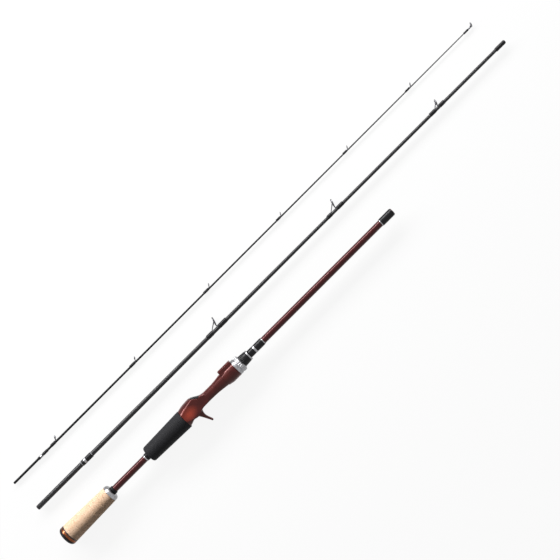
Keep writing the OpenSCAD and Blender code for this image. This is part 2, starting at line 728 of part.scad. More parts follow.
// Spigot at the rear, straight taper, then a parallel front with the tip's socket in it
module mid_blank() {
  taper_end = mid_spigot_l + mid_taper * mid_l;
  socket_end = mid_l - tip_spigot_l - socket_extra;
  color("#26272b") on_mid() turned([
    [0, mid_spigot_d / 2 - 0.4], [0.6, mid_spigot_d / 2], [mid_spigot_l, mid_spigot_d / 2],
    [mid_spigot_l, mid_rear_d / 2], [taper_end, mid_front_d / 2], [mid_l - 0.4, mid_front_d / 2],
    [mid_l, mid_front_d / 2 - 0.2], [mid_l, mid_socket_r], [socket_end, mid_socket_r],
    [socket_end - over, mid_bore_d / 2], [0, mid_bore_d / 2]
  ]);
}

module mid_rear_wraps() {
  color("#121214") on_mid() {
    wrap(mid_short_wrap_x, mid_short_wrap_l, mid_r(mid_short_wrap_x) + glue, mid_wrap_t, end_l = 0.6);
    wrap(mid_long_wrap_x + thread_line_l, mid_long_wrap_l - 2 * thread_line_l, mid_r(mid_long_wrap_x) + glue,
      mid_wrap_t, end_l = 0.6);
  }
}

// Fine light threads: one behind the short wrap, one at each end of the long wrap
module mid_thread_lines() {
  r = mid_r(mid_short_wrap_x) + glue;
  places = [mid_short_wrap_x - thread_line_l, mid_long_wrap_x, mid_long_wrap_x + mid_long_wrap_l - thread_line_l];
  color("#c8c8cc") on_mid() for (x = places) tube_x(x, thread_line_l, 2 * (r + mid_wrap_t / 2), 2 * r);
}

module mid_band() {
  r = mid_r(mid_band_x) + glue;
  color("#d8d8da") on_mid() tube_x(mid_band_x, mid_band_l, 2 * (r + mid_wrap_t), 2 * r);
}

module mid_ferrule_wrap() {
  color("#101011") on_mid() wrap(mid_ferrule_wrap_x, mid_ferrule_wrap_l - 0.5, mid_front_d / 2 + glue, mid_wrap_t + 0.1);
}

// Height of a leaning loop's centre when its highest point is at h
function loop_y(h, d, w, lean) = h - d / 2 * cos(lean) - w / 4 * sin(lean);

// Ring centre height and rear foot place of mid guide i
function mid_ring_y(i) = loop_y(mid_guide_h[i], mid_loop_d[i], loop_w, guide_lean);
function mid_rear_foot_x(i) = mid_guide_x[i] - mid_leg_reach[i] - mid_rear_wrap_l[i];

// Double-foot guide: loop, front foot below it, two wire legs down to the rear foot
module mid_guide_frame(i) {
  x = mid_guide_x[i];
  y = mid_ring_y(i);
  d = mid_loop_d[i];
  r_front = mid_r(x);
  r_rear = mid_r(mid_rear_foot_x(i));
  rear_end = mid_guide_x[i] - mid_leg_reach[i] + leg_d / 2;
  color("#c3c5c9") on_mid() difference() {
    union() {
      loop(x + lean_shift(y), y, d, d - 2 * loop_t, loop_w, guide_lean);
      guide_foot(x - 0.9, mid_front_wrap_l[i] + 0.4, r_front);
      guide_foot(mid_rear_foot_x(i) + 1, mid_rear_wrap_l[i], r_rear);
      post([x - 0.25, r_front], loop_base(x + lean_shift(y), y, d, guide_lean), loop_w, foot_w);
      for (side = [-1, 1]) wire(
        [rear_end, r_rear + foot_t / 2, side * 0.35], [x + lean_shift(y) - 0.3, y, side * (d / 2 - leg_d / 2 - glue)], leg_d
      );
    }
    rod_x(mid_rear_foot_x(i) - over, 60, r_front);
    line_room(x + lean_shift(y), y, d - 2 * loop_t, loop_w, guide_lean);
  }
}

// Room for the line ring, through the leaning loop
module line_room(x, y, d, w, lean) {
  translate([x, y, 0]) rotate([0, 0, -lean]) rotate([0, 90, 0]) cylinder(h = w + 0.6, d = d, center = true);
}

// The lowest point of a loop's wall, where its post comes in
function loop_base(x, y, d, lean) = [x - sin(lean) * (d - loop_t) / 2, y - cos(lean) * (d - loop_t) / 2];

// How far the lean carries a ring's centre forward
function lean_shift(y) = y * sin(guide_lean) / 2;

module mid_guide_ring(i) {
  y = mid_ring_y(i);
  color("#2a2a2e") on_mid() line_ring(mid_guide_x[i] + lean_shift(y), y, mid_loop_d[i] - 2 * loop_t - 2 * glue, ring_t,
    loop_w + 0.3, guide_lean);
}

module mid_guide_wraps(i) {
  x = mid_guide_x[i];
  color("#121214") on_mid() {
    foot_wrap(mid_rear_foot_x(i), mid_rear_wrap_l[i], mid_r(mid_rear_foot_x(i)));
    foot_wrap(x + 0.7, mid_front_wrap_l[i], mid_r(x));
  }
}

// Tip section --------------------------------------------------------------

// Spigot at the rear, then one long taper
module tip_blank() {
  color("#1b1b1e") on_tip() turned([
    [0, tip_spigot_d / 2 - 0.3], [0.5, tip_spigot_d / 2], [tip_spigot_l, tip_spigot_d / 2],
    [tip_spigot_l, tip_rear_d / 2], [tip_l, tip_front_d / 2], [tip_l, 0],
    [tip_bore_l + 2, 0], [tip_bore_l, tip_bore_d / 2], [0, tip_bore_d / 2]
  ]);
}

module tip_band() {
  x = tip_short_wrap_x + tip_short_wrap_l + glue;
  r = tip_r(x) + glue;
  color("#d8d8da") on_tip() tube_x(x, tip_band_l, 2 * (r + tip_wrap_t), 2 * r);
}

module tip_rear_wraps() {
  color("#101012") on_tip() {
    wrap(tip_short_wrap_x, tip_short_wrap_l, tip_r(tip_short_wrap_x) + glue, tip_wrap_t, end_l = 0.6);
    wrap(tip_long_wrap_x, tip_long_wrap_l, tip_r(tip_long_wrap_x) + glue, tip_wrap_t, end_l = 0.8);
  }
}

function tip_ring_y(i) = loop_y(tip_guide_h[i], tip_loop_d[i], small_loop_w, tip_lean);
function tip_foot_x(i) = tip_guide_x[i] - tip_guide_wrap_l[i] - 2.8;

// Single-foot guide: loop on a short post, with one foot behind it
module tip_guide_frame(i) {
  x = tip_guide_x[i];
  y = tip_ring_y(i);
  d = tip_loop_d[i];
  r = tip_r(tip_foot_x(i));
  color("#b9bbbf") on_tip() difference() {
    union() {
      loop(x, y, d, d - 2 * small_loop_t, small_loop_w, tip_lean);
      guide_foot(tip_foot_x(i) + 1, tip_guide_wrap_l[i] + 1.2, r);
      post([x - 1.4, r + foot_t / 2], loop_base(x, y, d, tip_lean), small_loop_w, foot_w / 2);
    }
    rod_x(tip_foot_x(i) - over, 40, r);
    line_room(x, y, d - 2 * small_loop_t, small_loop_w, tip_lean);
  }
}

module tip_guide_ring(i) {
  color("#2a2a2e") on_tip() line_ring(tip_guide_x[i], tip_ring_y(i), tip_loop_d[i] - 2 * small_loop_t - 2 * glue,
    small_ring_t, small_loop_w + 0.2, tip_lean);
}

module tip_guide_wrap(i) {
  color("#101012") on_tip() foot_wrap(tip_foot_x(i), tip_guide_wrap_l[i], tip_r(tip_foot_x(i)));
}

// Tip-top: a tube over the end of the blank with a ring above its mouth
module tip_top_frame() {
  r = tip_r(tip_tube_x);
  color("#b9bbbf") on_tip() difference() {
    union() {
      rod_x(tip_tube_x, tip_tube_l + 0.8, r + 0.35);
      loop(tip_top_x, tip_top_h, tip_top_loop_d, tip_top_loop_d - 1.5 * loop_t, small_loop_w, tip_top_lean);
      for (side = [-1, 1]) wire(
        [tip_l - 3, r * 0.6, side * 0.3], [tip_top_x - 0.2, tip_top_h, side * (tip_top_loop_d / 2 - 0.3)], 0.7
      );
    }
    rod_x(tip_tube_x - over, tip_tube_l + over, r + glue);
    line_room(tip_top_x, tip_top_h, tip_top_loop_d - 1.5 * loop_t, small_loop_w, tip_top_lean);
  }
}

module tip_top_ring() {
  color("#2a2a2e") on_tip() line_ring(tip_top_x, tip_top_h, tip_top_loop_d - 1.5 * loop_t - 2 * glue, small_ring_t,
    small_loop_w + 0.2, tip_top_lean);
}

module tip_top_wrap() {
  x = tip_tube_x - 0.6 * tip_top_wrap_l;
  color("#101012") on_tip() difference() {
    wrap(x, tip_top_wrap_l, tip_r(x) + glue, 0.6, end_l = 1);
    rod_x(tip_tube_x - glue, tip_tube_l, tip_r(tip_tube_x) + 0.35 + glue);
  }
}

butt_blank();
end_cap();
end_ring();
end_trim();
cork_rings();
grip_cap();
grip_collar();
grip_trim();
grip_check();
foam_grip();
seat_body();
hood_bezel();
seat_arbors();
winding_check();
butt_wraps();
butt_band();
butt_trim();
ferrule_trim();
butt_ferrule_wrap();
moving_hood();
lock_nut();
nut_ring();
mid_blank();
mid_rear_wraps();
mid_thread_lines();
mid_band();
mid_ferrule_wrap();
mid_guide_frame(0);  // mid_guide_1_frame
mid_guide_ring(0);  // mid_guide_1_ring
mid_guide_wraps(0);  // mid_guide_1_wraps
mid_guide_frame(1);  // mid_guide_2_frame
mid_guide_ring(1);  // mid_guide_2_ring
mid_guide_wraps(1);  // mid_guide_2_wraps
mid_guide_frame(2);  // mid_guide_3_frame
mid_guide_ring(2);  // mid_guide_3_ring
mid_guide_wraps(2);  // mid_guide_3_wraps
tip_blank();
tip_rear_wraps();
tip_band();
tip_guide_frame(0);  // tip_guide_1_frame
tip_guide_ring(0);  // tip_guide_1_ring
tip_guide_wrap(0);  // tip_guide_1_wrap
tip_guide_frame(1);  // tip_guide_2_frame
tip_guide_ring(1);  // tip_guide_2_ring
tip_guide_wrap(1);  // tip_guide_2_wrap
tip_guide_frame(2);  // tip_guide_3_frame
tip_guide_ring(2);  // tip_guide_3_ring
tip_guide_wrap(2);  // tip_guide_3_wrap
tip_guide_frame(3);  // tip_guide_4_frame
tip_guide_ring(3);  // tip_guide_4_ring
tip_guide_wrap(3);  // tip_guide_4_wrap
tip_guide_frame(4);  // tip_guide_5_frame
tip_guide_ring(4);  // tip_guide_5_ring
tip_guide_wrap(4);  // tip_guide_5_wrap
tip_guide_frame(5);  // tip_guide_6_frame
tip_guide_ring(5);  // tip_guide_6_ring
tip_guide_wrap(5);  // tip_guide_6_wrap
tip_top_frame();
tip_top_ring();
tip_top_wrap();
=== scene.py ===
# %% [markdown]
# # A three-piece casting rod, taken apart
# The rod lies as three sections side by side: the butt with its grip, reel seat and trigger, the mid
# section, and the thin tip section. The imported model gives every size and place. This lesson puts smooth
# turned and softened shapes over it, and gives each finish its own procedural material.

import bmesh
import bpy
import math
import json
from mathutils import Matrix, Vector


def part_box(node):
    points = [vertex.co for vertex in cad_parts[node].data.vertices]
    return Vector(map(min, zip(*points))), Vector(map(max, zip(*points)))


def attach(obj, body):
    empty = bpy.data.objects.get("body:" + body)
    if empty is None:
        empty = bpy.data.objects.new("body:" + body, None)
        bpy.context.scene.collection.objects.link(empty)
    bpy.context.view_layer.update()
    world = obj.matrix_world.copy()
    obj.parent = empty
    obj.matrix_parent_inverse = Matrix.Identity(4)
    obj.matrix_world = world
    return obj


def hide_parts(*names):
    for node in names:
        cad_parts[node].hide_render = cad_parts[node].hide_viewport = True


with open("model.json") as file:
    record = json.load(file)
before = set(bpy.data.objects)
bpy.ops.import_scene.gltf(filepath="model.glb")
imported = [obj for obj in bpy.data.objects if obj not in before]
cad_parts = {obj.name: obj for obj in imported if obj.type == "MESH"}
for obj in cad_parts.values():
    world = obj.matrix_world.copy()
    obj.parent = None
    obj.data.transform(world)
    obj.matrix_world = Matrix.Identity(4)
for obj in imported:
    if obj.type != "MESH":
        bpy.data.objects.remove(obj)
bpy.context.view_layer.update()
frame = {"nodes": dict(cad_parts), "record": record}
MM = 0.001
record_slots = {row["slot"]: row for row in frame["record"]["materials"]}
print("pieces of the model:", len(frame["nodes"]))

# %% [markdown]
# ## Where the three axes lie
# Each section is turned round its own long axis. The box of a round piece gives that axis: its middle
# across and its middle in height. A station is a distance in millimetres from the sections' rear ends,
# which all line up, so one small helper turns a station into a place in the frame.

# %% Axes and stations
def middle_of(node):
    low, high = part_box(node)
    return (low + high) / 2


rear_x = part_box("end_cap")[0].x
AXES = {"butt": middle_of("end_ring"), "mid": middle_of("mid_band"), "tip": middle_of("tip_rear_wraps")}
BODY_OF = {"butt": "butt_section", "mid": "mid_section", "tip": "tip_section"}


def station(node, end=0):
    """Distance of a node's rear (0) or front (1) end from the rear ends, in millimetres."""
    return (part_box(node)[end].x - rear_x) / MM


def radius_of(node):
    low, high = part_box(node)
    return (high.z - low.z) / 2 / MM


for name, axis in AXES.items():
    print(name, "axis at y %.2f mm, z %.2f mm" % (axis.y / MM, axis.z / MM))

# %% [markdown]
# ## Shared effects as node groups
# Lacquer, cork, foam and metal all need some unevenness, but at very different scales. A node group works
# like a small tool with named inputs: it is built once and then set differently in each finish. Each group
# measures the object's own coordinates in millimetres, so a pattern keeps its real size.

# %% A helper that starts a node group
def start_group(name, inputs, outputs):
    group = bpy.data.node_groups.new(name, "ShaderNodeTree")
    for label, value in inputs:
        socket = group.interface.new_socket(label, in_out="INPUT", socket_type="NodeSocketFloat")
        socket.default_value = value
    for label, kind in outputs:
        group.interface.new_socket(label, in_out="OUTPUT", socket_type=kind)
    entry = group.nodes.new("NodeGroupInput")
    leave = group.nodes.new("NodeGroupOutput")
    coords = group.nodes.new("ShaderNodeTexCoord")
    to_mm = group.nodes.new("ShaderNodeVectorMath")
    to_mm.operation = "SCALE"
    to_mm.inputs["Scale"].default_value = 1 / MM
    group.links.new(coords.outputs["Object"], to_mm.inputs[0])
    return group, entry, leave, to_mm.outputs["Vector"]


def add_map_range(group, value, low, high, to_low, to_high):
    node = group.nodes.new("ShaderNodeMapRange")
    group.links.new(value, node.inputs["Value"])
    for label, source in (("From Min", low), ("From Max", high), ("To Min", to_low), ("To Max", to_high)):
        if isinstance(source, (int, float)):
            node.inputs[label].default_value = source
        else:
            group.links.new(source, node.inputs[label])
    return node.outputs["Result"]


# %% [markdown]
# **Fine Speckle** is a soft noise cut to a mask: metal flake in lacquer, tone in cork, dust on rubber.
# Its grain is a size in millimetres, and Stretch draws the grains out along the rod, as polishing does.

# %% Fine Speckle
def build_speckle():
    group, entry, leave, place = start_group(
        "Fine Speckle",
        [("Grain mm", 1.0), ("Stretch", 1.0), ("Low", 0.4), ("High", 0.6)],
        [("Mask", "NodeSocketFloat")],
    )
    stretch = group.nodes.new("ShaderNodeCombineXYZ")
    inverse = group.nodes.new("ShaderNodeMath")
    inverse.operation = "DIVIDE"
    inverse.inputs[0].default_value = 1
    group.links.new(entry.outputs["Stretch"], inverse.inputs[1])
    group.links.new(inverse.outputs[0], stretch.inputs["X"])
    stretch.inputs["Y"].default_value = 1
    stretch.inputs["Z"].default_value = 1
    scaled = group.nodes.new("ShaderNodeVectorMath")
    scaled.operation = "MULTIPLY"
    group.links.new(place, scaled.inputs[0])
    group.links.new(stretch.outputs[0], scaled.inputs[1])
    frequency = group.nodes.new("ShaderNodeMath")
    frequency.operation = "DIVIDE"
    frequency.inputs[0].default_value = 1
    group.links.new(entry.outputs["Grain mm"], frequency.inputs[1])
    noise = group.nodes.new("ShaderNodeTexNoise")
    noise.inputs["Detail"].default_value = 4
    group.links.new(scaled.outputs["Vector"], noise.inputs["Vector"])
    group.links.new(frequency.outputs[0], noise.inputs["Scale"])
    mask = add_map_range(group, noise.outputs["Fac"], entry.outputs["Low"], entry.outputs["High"], 0, 1)
    group.links.new(mask, leave.inputs["Mask"])
    return group


# %% [markdown]
# **Thread Turns** raises one small ridge for each turn of thread, so its Pitch is the thread's thickness.
# **Cell Pits** gives round hollows, as in cork and foam, from the distance to scattered points.

# %% Thread Turns and Cell Pits
def build_turns():
    group, entry, leave, place = start_group(
        "Thread Turns", [("Pitch mm", 0.25)], [("Height", "NodeSocketFloat")]
    )
    parts = group.nodes.new("ShaderNodeSeparateXYZ")
    group.links.new(place, parts.inputs[0])
    turn = group.nodes.new("ShaderNodeMath")
    turn.operation = "DIVIDE"
    group.links.new(parts.outputs["X"], turn.inputs[0])
    group.links.new(entry.outputs["Pitch mm"], turn.inputs[1])
    ridge = group.nodes.new("ShaderNodeMath")
    ridge.operation = "PINGPONG"
    ridge.inputs[1].default_value = 0.5
    group.links.new(turn.outputs[0], ridge.inputs[0])
    rounded = group.nodes.new("ShaderNodeMath")
    rounded.operation = "SQRT"
    group.links.new(ridge.outputs[0], rounded.inputs[0])
    group.links.new(rounded.outputs[0], leave.inputs["Height"])
    return group


def build_pits():
    group, entry, leave, place = start_group(
        "Cell Pits", [("Cell mm", 1.0), ("Size", 0.3)], [("Pit", "NodeSocketFloat")]
    )
    frequency = group.nodes.new("ShaderNodeMath")
    frequency.operation = "DIVIDE"
    frequency.inputs[0].default_value = 1
    group.links.new(entry.outputs["Cell mm"], frequency.inputs[1])
    cells = group.nodes.new("ShaderNodeTexVoronoi")
    group.links.new(place, cells.inputs["Vector"])
    group.links.new(frequency.outputs[0], cells.inputs["Scale"])
    pit = add_map_range(group, cells.outputs["Distance"], 0, entry.outputs["Size"], 1, 0)
    group.links.new(pit, leave.inputs["Pit"])
    return group


SPECKLE = build_speckle()
TURNS = build_turns()
PITS = build_pits()
print("groups:", [group.name for group in (SPECKLE, TURNS, PITS)])

# %% [markdown]
# ## One way to mix a finish
# Every finish is a Principled shader with three things that vary: colour between two tones, roughness
# between two values, and a bump. What stays the same all over, such as metallic or the specular level, is
# set directly on the shader. The finish class below holds the few steps that each material repeats.

# %% The finish helper
class Finish:
    def __init__(self, slot, **constants):
        self.material = bpy.data.materials.new(slot)
        self.material.use_nodes = True
        self.nodes = self.material.node_tree.nodes
        self.links = self.material.node_tree.links
        self.shader = self.nodes["Principled BSDF"]
        for label, value in constants.items():
            self.shader.inputs[label.replace("_", " ")].default_value = value

    def place(self, group, **values):
        node = self.nodes.new("ShaderNodeGroup")
        node.node_tree = group
        for label, value in values.items():
            node.inputs[label.replace("_", " ")].default_value = value
        return node.outputs[0]

    def tones(self, mask, first, second, under=None):
        """Colour that goes from the first tone, or a socket under it, to the second by the mask."""
        mix = self.nodes.new("ShaderNodeMix")
        mix.data_type = "RGBA"
        self.links.new(mask, mix.inputs["Factor"])
        if under is None:
            mix.inputs["A"].default_value = (*first, 1)
        else:
            self.links.new(under, mix.inputs["A"])
        mix.inputs["B"].default_value = (*second, 1)
        self.links.new(mix.outputs["Result"], self.shader.inputs["Base Color"])
        return mix.outputs["Result"]

    def gloss(self, mask, smooth, rough):
        spread = self.nodes.new("ShaderNodeMapRange")
        self.links.new(mask, spread.inputs["Value"])
        spread.inputs["To Min"].default_value = smooth
        spread.inputs["To Max"].default_value = rough
        self.links.new(spread.outputs["Result"], self.shader.inputs["Roughness"])

    def bump(self, height, depth_mm, under=None):
        node = self.nodes.new("ShaderNodeBump")
        node.inputs["Distance"].default_value = depth_mm * MM
        node.inputs["Strength"].default_value = 1
        self.links.new(height, node.inputs["Height"])
        if under is not None:
            self.links.new(under, node.inputs["Normal"])
        self.links.new(node.outputs["Normal"], self.shader.inputs["Normal"])
        return node.outputs["Normal"]


FINISH = {}

# %% [markdown]
# ## Lacquered blanks
# The butt blank is carbon cloth under a clear wine-red lacquer, and the other two are nearly black. On the
# real rod the colour comes from pigment in a thin clear layer, so a streak of light keeps a reddish edge.
# A fine speckle drawn out along the rod stands for the cloth and the sanding marks below the lacquer.

# %% Wine-red, near-black and black lacquer
def lacquer(slot, dark, light, smooth, rough, level, grain=0.6, tint=None, metallic=0.0):
    finish = Finish(slot, Specular_IOR_Level=level, Metallic=metallic)
    if tint is not None:
        finish.shader.inputs["Specular Tint"].default_value = (*tint, 1)
    cloth = finish.place(SPECKLE, Grain_mm=grain, Stretch=4.0, Low=0.35, High=0.7)
    finish.tones(cloth, dark, light)
    wear = finish.place(SPECKLE, Grain_mm=6.0, Stretch=3.0, Low=0.35, High=0.75)
    finish.gloss(wear, smooth, rough)
    ripple = finish.place(SPECKLE, Grain_mm=2.5, Stretch=5.0, Low=0.2, High=0.8)
    finish.bump(ripple, 0.004)
    FINISH[slot] = finish.material


lacquer("red_blank", (0.012, 0.0008, 0.001), (0.036, 0.0025, 0.003), 0.17, 0.24, 0.4, tint=(1, 0.5, 0.5))
lacquer("dark_blank", (0.0015, 0.0015, 0.002), (0.006, 0.006, 0.008), 0.24, 0.34, 0.32)
lacquer("black_blank", (0.0015, 0.0015, 0.002), (0.005, 0.005, 0.006), 0.3, 0.4, 0.1)
print("lacquers:", list(FINISH))

# %% [markdown]
# ## The reel seat's red
# The seat and the moving hood are moulded and sprayed with a burgundy metallic. Its flakes lie flat in the
# paint, so it is partly metallic. An orange-brown oval over the finger recess is a painted glow of light
# mixed into the colour. A coat over the top gives the sharp streak.

# %% Burgundy metallic
# The painted orange-brown glow of light covers the finger recess on both sides of the palm, at these places, in
# millimetres of the whole frame.
PAINTED_GLOW_MIDDLE = (-191.5, -36.0, 0)
PAINTED_GLOW_REACH = (12.5, 8.5)


def painted_glow_mask(finish):
    """One inside the oval of the painted glow of light over the finger recess, fading to zero at its rim."""
    coords = finish.nodes.new("ShaderNodeTexCoord")
    shift = finish.nodes.new("ShaderNodeVectorMath")
    shift.operation = "SUBTRACT"
    shift.inputs[1].default_value = [v * MM for v in PAINTED_GLOW_MIDDLE]
    oval = finish.nodes.new("ShaderNodeVectorMath")
    oval.operation = "MULTIPLY"
    oval.inputs[1].default_value = (1 / (PAINTED_GLOW_REACH[0] * MM), 1 / (PAINTED_GLOW_REACH[1] * MM), 0)
    reach = finish.nodes.new("ShaderNodeVectorMath")
    reach.operation = "LENGTH"
    fade = finish.nodes.new("ShaderNodeMapRange")
    fade.inputs["From Min"].default_value = 1.05
    fade.inputs["From Max"].default_value = 0.2
    finish.links.new(coords.outputs["Object"], shift.inputs[0])
    finish.links.new(shift.outputs["Vector"], oval.inputs[0])
    finish.links.new(oval.outputs["Vector"], reach.inputs[0])
    finish.links.new(reach.outputs["Value"], fade.inputs["Value"])
    return fade.outputs["Result"]


def burgundy():
    finish = Finish("red_seat", Metallic=0.12, Specular_IOR_Level=0.4, Coat_Weight=0.15, Coat_Roughness=0.14)
    finish.shader.inputs["Specular Tint"].default_value = (1, 0.45, 0.42, 1)
    flake = finish.place(SPECKLE, Grain_mm=0.18, Stretch=1.0, Low=0.58, High=0.85)
    depth = finish.place(SPECKLE, Grain_mm=9.0, Stretch=1.0, Low=0.35, High=0.7)
    base = finish.tones(depth, (0.026, 0.002, 0.002), (0.045, 0.005, 0.004))
    # painted glow of light: an orange-brown oval mixed into the seat's colour over the finger recess
    base = finish.tones(painted_glow_mask(finish), (0, 0, 0), (0.24, 0.032, 0.016), under=base)
    finish.tones(flake, (0, 0, 0), (0.11, 0.014, 0.010), under=base)
    finish.gloss(depth, 0.2, 0.28)
    finish.bump(flake, 0.004)
    FINISH["red_seat"] = finish.material


burgundy()

# %% [markdown]
# ## Cork
# Natural cork is cut into rings, glued and turned. It shows soft tan clouds, small dark pits where the
# bark's pores were cut, and a few longer brown streaks. Two sizes of pits and two sizes of noise cover that.

# %% Cork with pores
def cork():
    finish = Finish("cork", Specular_IOR_Level=0.25)
    cloud = finish.place(SPECKLE, Grain_mm=5.0, Stretch=1.0, Low=0.35, High=0.68)
    grain = finish.place(SPECKLE, Grain_mm=0.7, Stretch=1.0, Low=0.5, High=0.8)
    streak = finish.place(SPECKLE, Grain_mm=1.6, Stretch=0.35, Low=0.62, High=0.74)
    pores = finish.place(PITS, Cell_mm=2.3, Size=0.3)
    tone = finish.tones(cloud, (0.50, 0.335, 0.22), (0.59, 0.42, 0.30))
    tone = finish.tones(grain, (0, 0, 0), (0.46, 0.30, 0.19), under=tone)
    tone = finish.tones(streak, (0, 0, 0), (0.40, 0.23, 0.12), under=tone)
    finish.tones(pores, (0, 0, 0), (0.24, 0.12, 0.06), under=tone)
    finish.gloss(cloud, 0.62, 0.8)
    soft = finish.bump(grain, 0.08)
    invert = finish.nodes.new("ShaderNodeMath")
    invert.operation = "SUBTRACT"
    invert.inputs[0].default_value = 1
    finish.links.new(pores, invert.inputs[1])
    finish.bump(invert.outputs[0], 0.2, under=soft)
    FINISH["cork"] = finish.material


cork()

# %% [markdown]
# ## Foam, rubber and black plastic
# The foam grip is closed-cell foam: charcoal and quite matt, with pores of about half a millimetre, painted darker
# as painted shade. Rubber is smoother with a faint dust, and the black plastic of the nut has a semi-gloss moulded
# skin.

# %% Foam, rubber and plastics
def foam():
    finish = Finish("foam", Specular_IOR_Level=0.12)
    pores = finish.place(PITS, Cell_mm=0.55, Size=0.45)
    cloud = finish.place(SPECKLE, Grain_mm=3.0, Stretch=1.0, Low=0.3, High=0.7)
    base = finish.tones(cloud, (0.008, 0.008, 0.009), (0.015, 0.015, 0.017))
    # painted shade: the pores are darkened towards near-black, for the shade that falls inside them
    finish.tones(pores, (0, 0, 0), (0.003, 0.003, 0.004), under=base)
    finish.gloss(cloud, 0.6, 0.75)
    invert = finish.nodes.new("ShaderNodeMath")
    invert.operation = "SUBTRACT"
    invert.inputs[0].default_value = 1
    finish.links.new(pores, invert.inputs[1])
    finish.bump(invert.outputs[0], 0.12)
    FINISH["foam"] = finish.material


def moulded(slot, dark, light, smooth, rough, grain, level=0.4):
    finish = Finish(slot, Specular_IOR_Level=level)
    dust = finish.place(SPECKLE, Grain_mm=grain, Stretch=1.0, Low=0.4, High=0.75)
    finish.tones(dust, dark, light)
    finish.gloss(dust, smooth, rough)
    skin = finish.place(SPECKLE, Grain_mm=0.25, Stretch=1.0, Low=0.3, High=0.7)
    finish.bump(skin, 0.01)
    FINISH[slot] = finish.material


foam()
moulded("black_rubber", (0.003, 0.003, 0.004), (0.010, 0.010, 0.011), 0.36, 0.5, 2.5, level=0.12)
moulded("black_plastic", (0.003, 0.003, 0.004), (0.008, 0.008, 0.009), 0.22, 0.34, 3.0, level=0.18)
moulded("dark_trim", (0.012, 0.008, 0.008), (0.030, 0.021, 0.019), 0.3, 0.45, 1.5)
moulded("line_ring_ceramic", (0.014, 0.014, 0.017), (0.030, 0.030, 0.034), 0.1, 0.2, 1.0, level=0.6)
moulded("arbor_tape", (0.50, 0.40, 0.25), (0.62, 0.51, 0.33), 0.6, 0.75, 1.2, level=0.3)

# %% [markdown]
# ## Bright metal
# The silver rings, the copper ring and the guides are turned or drawn metal. Turning leaves fine rings
# round the axis, which is the same pattern as thread turns, only much finer and shallower.

# %% Turned and drawn metal
def bright_metal(slot, dark, light, smooth, rough, turning_mm, depth_mm):
    finish = Finish(slot, Metallic=1.0)
    cloud = finish.place(SPECKLE, Grain_mm=1.8, Stretch=2.0, Low=0.35, High=0.75)
    finish.tones(cloud, light, dark)
    finish.gloss(cloud, smooth, rough)
    rings = finish.place(TURNS, Pitch_mm=turning_mm)
    finish.bump(rings, depth_mm)
    FINISH[slot] = finish.material


bright_metal("polished_silver", (0.20, 0.20, 0.21), (0.34, 0.34, 0.35), 0.27, 0.34, 0.12, 0.0003)
bright_metal("copper_ring", (0.09, 0.026, 0.011), (0.20, 0.068, 0.03), 0.22, 0.3, 0.15, 0.0006)
bright_metal("guide_steel", (0.06, 0.06, 0.065), (0.13, 0.13, 0.14), 0.16, 0.28, 0.3, 0.0004)

# %% [markdown]
# ## Thread under varnish
# The guides are tied on with thread and the thread is flooded with varnish. The turns still show through
# as fine ridges, and the varnish gives them one shared gloss. The grooves between turns are painted darker
# as painted shade.

# %% Thread wraps
def thread(slot, dark, light, level, rough, depth_mm):
    finish = Finish(slot, Specular_IOR_Level=level)
    turns = finish.place(TURNS, Pitch_mm=0.26)
    # painted shade: the colour follows each turn's height, darker in the grooves between turns
    finish.tones(turns, dark, light)
    cloud = finish.place(SPECKLE, Grain_mm=1.5, Stretch=1.0, Low=0.3, High=0.8)
    finish.gloss(cloud, rough, rough + 0.12)
    finish.bump(turns, depth_mm)
    FINISH[slot] = finish.material


thread("thread_wrap", (0.002, 0.002, 0.003), (0.006, 0.006, 0.007), 0.18, 0.2, 0.006)
thread("light_thread", (0.2, 0.2, 0.22), (0.4, 0.4, 0.43), 0.5, 0.3, 0.006)
missing = [slot for slot in record_slots if slot not in FINISH]
print("finishes:", len(FINISH), "missing:", missing)

# %% [markdown]
# ## Turning a piece
# Blanks, caps, cork and wraps are all made on a lathe or by winding, so they are modelled the same way:
# half a section as a line of points, each a station and a radius, spun once round the axis. A bevel then
# eases the sharp corners. Spinning keeps the section exact and the faces even.

# %% The lathe
SLOT_OF = {}
for node_name, node in frame["nodes"].items():
    for material_slot in node.material_slots:
        SLOT_OF[node_name] = material_slot.material.name.split(".")[0]


def finish_piece(bm, name, body, slot, nodes, sharp_deg=35):
    bmesh.ops.remove_doubles(bm, verts=bm.verts, dist=1e-7)
    bmesh.ops.recalc_face_normals(bm, faces=bm.faces)
    mesh = bpy.data.meshes.new(name)
    bm.to_mesh(mesh)
    bm.free()
    mesh.shade_smooth()
    mesh.set_sharp_from_angle(angle=math.radians(sharp_deg))
    piece = bpy.data.objects.new(name, mesh)
    bpy.context.scene.collection.objects.link(piece)
    piece.data.materials.append(FINISH[slot])
    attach(piece, body)
    if nodes:
        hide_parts(*nodes)
    return piece


